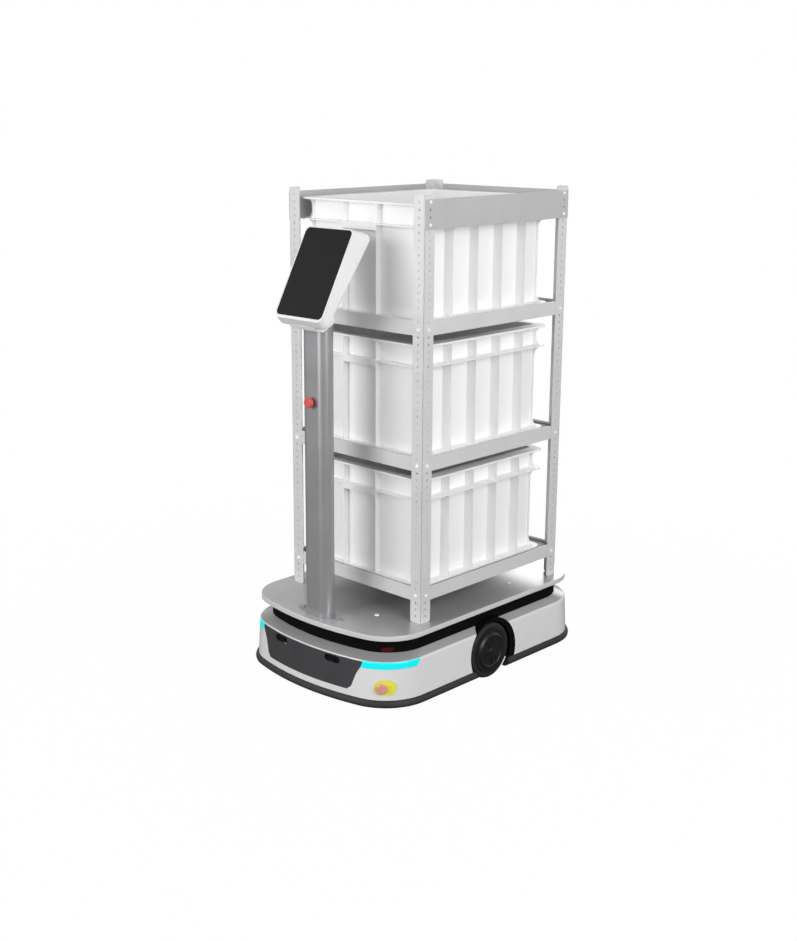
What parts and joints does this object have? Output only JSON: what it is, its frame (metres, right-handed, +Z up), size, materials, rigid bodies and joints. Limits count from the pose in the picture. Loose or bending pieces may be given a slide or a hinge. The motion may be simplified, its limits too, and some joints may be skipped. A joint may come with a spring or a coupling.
{
  "type": "autonomous mobile robot with tote rack",
  "caption": "Wheeled mobile robot base with a flat deck, a bolted rack of stacking crates, a front mast with a tilted screen and two push stops.",
  "frame": {"origin": "on the floor, midway between the drive wheels", "axes": "-Y is the driving direction (front), +X is to the right seen from the front, +Z up"},
  "size_m": [0.646, 0.9619, 1.428],
  "materials": {
    "steel_frame": "semi-gloss black",
    "bumper_rubber": "matte",
    "shell_white": "gloss white",
    "housing_black": "matte black",
    "panel_dark": "dark grey satin",
    "light_cyan": "lit cyan diffuser",
    "camera_black": "black",
    "lidar_red": "dark red window",
    "tyre": "matte black",
    "cover_black": "satin black",
    "motor_aluminium": "cast",
    "zinc_steel": "zinc plated",
    "caster_rubber": "matte",
    "battery_case": "semi-gloss",
    "deck_grey": "powder coat, light grey",
    "mast_grey": "satin grey",
    "case_white": "satin white",
    "screen_black": "black glass",
    "stop_yellow": "yellow",
    "stop_collar": "black",
    "stop_red": "red",
    "rack_white": "powder coat, off-white",
    "band_grey": "powder coat, grey",
    "shelf_dark": "powder coat, dark",
    "crate_white": "moulded white"
  },
  "bodies": {
    "chassis": {"chassis_frame": "steel_frame", "axle_bracket_left": "steel_frame", "axle_bracket_right": "steel_frame", "caster_mounts": "steel_frame", "mast_base": "steel_frame", "bumper_front": "bumper_rubber", "bumper_rear": "bumper_rubber", "shell_front": "shell_white", "shell_rear": "shell_white", "upper_housing": "housing_black", "wheel_arch_left": "housing_black", "wheel_arch_right": "housing_black", "front_panel": "panel_dark", "light_bar_left": "light_cyan", "light_bar_right": "light_cyan", "depth_camera_left": "camera_black", "depth_camera_right": "camera_black", "lidar_body": "camera_black", "lidar_window": "lidar_red", "screen_bracket": "zinc_steel", "battery_pack": "battery_case", "controller_box": "battery_case", "charge_contacts": "battery_case", "deck_plate": "deck_grey", "mast_tube": "mast_grey", "screen_case": "case_white", "screen_glass": "screen_black", "front_stop_plate": "stop_yellow", "front_stop_base": "stop_collar", "mast_stop_base": "stop_collar", "post_front_left": "rack_white", "post_front_right": "rack_white", "post_rear_left": "rack_white", "post_rear_right": "rack_white", "shelf_beams_lower": "rack_white", "shelf_beams_middle": "rack_white", "shelf_beams_upper": "rack_white", "top_bands": "band_grey", "shelf_panels": "shelf_dark"},
    "drive_wheel_left": {"drive_tyre_left": "tyre", "hub_motor_left": "motor_aluminium", "wheel_cover_left": "cover_black"},
    "drive_wheel_right": {"drive_tyre_right": "tyre", "hub_motor_right": "motor_aluminium", "wheel_cover_right": "cover_black"},
    "caster_front_left": {"caster_fork_front_left": "zinc_steel"},
    "caster_roller_front_left": {"caster_wheel_front_left": "caster_rubber"},
    "caster_front_right": {"caster_fork_front_right": "zinc_steel"},
    "caster_roller_front_right": {"caster_wheel_front_right": "caster_rubber"},
    "caster_rear_left": {"caster_fork_rear_left": "zinc_steel"},
    "caster_roller_rear_left": {"caster_wheel_rear_left": "caster_rubber"},
    "caster_rear_right": {"caster_fork_rear_right": "zinc_steel"},
    "caster_roller_rear_right": {"caster_wheel_rear_right": "caster_rubber"},
    "mast_stop": {"mast_stop_button": "stop_red"},
    "front_stop": {"front_stop_button": "stop_red"},
    "tote_lower": {"crate_lower": "crate_white"},
    "tote_middle": {"crate_middle": "crate_white"},
    "tote_upper": {"crate_upper": "crate_white"}
  },
  "joints": [
    {"name": "wheel_spin_left", "type": "hinge", "parent": "chassis", "child": "drive_wheel_left", "pos_m": [0.286, 0, 0.085], "axis": [1, 0, 0], "continuous": true},
    {"name": "wheel_spin_right", "type": "hinge", "parent": "chassis", "child": "drive_wheel_right", "pos_m": [-0.286, 0, 0.085], "axis": [1, 0, 0], "continuous": true},
    {"name": "caster_swivel_front_left", "type": "hinge", "parent": "chassis", "child": "caster_front_left", "pos_m": [0.215, -0.33, 0.088], "axis": [0, 0, 1], "continuous": true},
    {"name": "caster_roll_front_left", "type": "hinge", "parent": "caster_front_left", "child": "caster_roller_front_left", "pos_m": [0.215, -0.302, 0.0375], "axis": [1, 0, 0], "continuous": true},
    {"name": "caster_swivel_front_right", "type": "hinge", "parent": "chassis", "child": "caster_front_right", "pos_m": [-0.215, -0.33, 0.088], "axis": [0, 0, 1], "continuous": true},
    {"name": "caster_roll_front_right", "type": "hinge", "parent": "caster_front_right", "child": "caster_roller_front_right", "pos_m": [-0.215, -0.302, 0.0375], "axis": [1, 0, 0], "continuous": true},
    {"name": "caster_swivel_rear_left", "type": "hinge", "parent": "chassis", "child": "caster_rear_left", "pos_m": [0.215, 0.335, 0.088], "axis": [0, 0, 1], "continuous": true},
    {"name": "caster_roll_rear_left", "type": "hinge", "parent": "caster_rear_left", "child": "caster_roller_rear_left", "pos_m": [0.215, 0.363, 0.0375], "axis": [1, 0, 0], "continuous": true},
    {"name": "caster_swivel_rear_right", "type": "hinge", "parent": "chassis", "child": "caster_rear_right", "pos_m": [-0.215, 0.335, 0.088], "axis": [0, 0, 1], "continuous": true},
    {"name": "caster_roll_rear_right", "type": "hinge", "parent": "caster_rear_right", "child": "caster_roller_rear_right", "pos_m": [-0.215, 0.363, 0.0375], "axis": [1, 0, 0], "continuous": true},
    {"name": "mast_stop_press", "type": "slide", "parent": "chassis", "child": "mast_stop", "axis": [0, 1, 0], "range_m": [0, 0.004], "stiffness_N_per_m": 800},
    {"name": "front_stop_press", "type": "slide", "parent": "chassis", "child": "front_stop", "axis": [-0.6984, 0.7157, 0], "range_m": [0, 0.004], "stiffness_N_per_m": 800},
    {"name": "crate_lift_lower", "type": "slide", "parent": "chassis", "child": "tote_lower", "axis": [0, 0, 1], "range_m": [0, 0.036]},
    {"name": "crate_lift_middle", "type": "slide", "parent": "chassis", "child": "tote_middle", "axis": [0, 0, 1], "range_m": [0, 0.036]},
    {"name": "crate_lift_upper", "type": "slide", "parent": "chassis", "child": "tote_upper", "axis": [0, 0, 1], "range_m": [0, 0.34]}
  ]
}
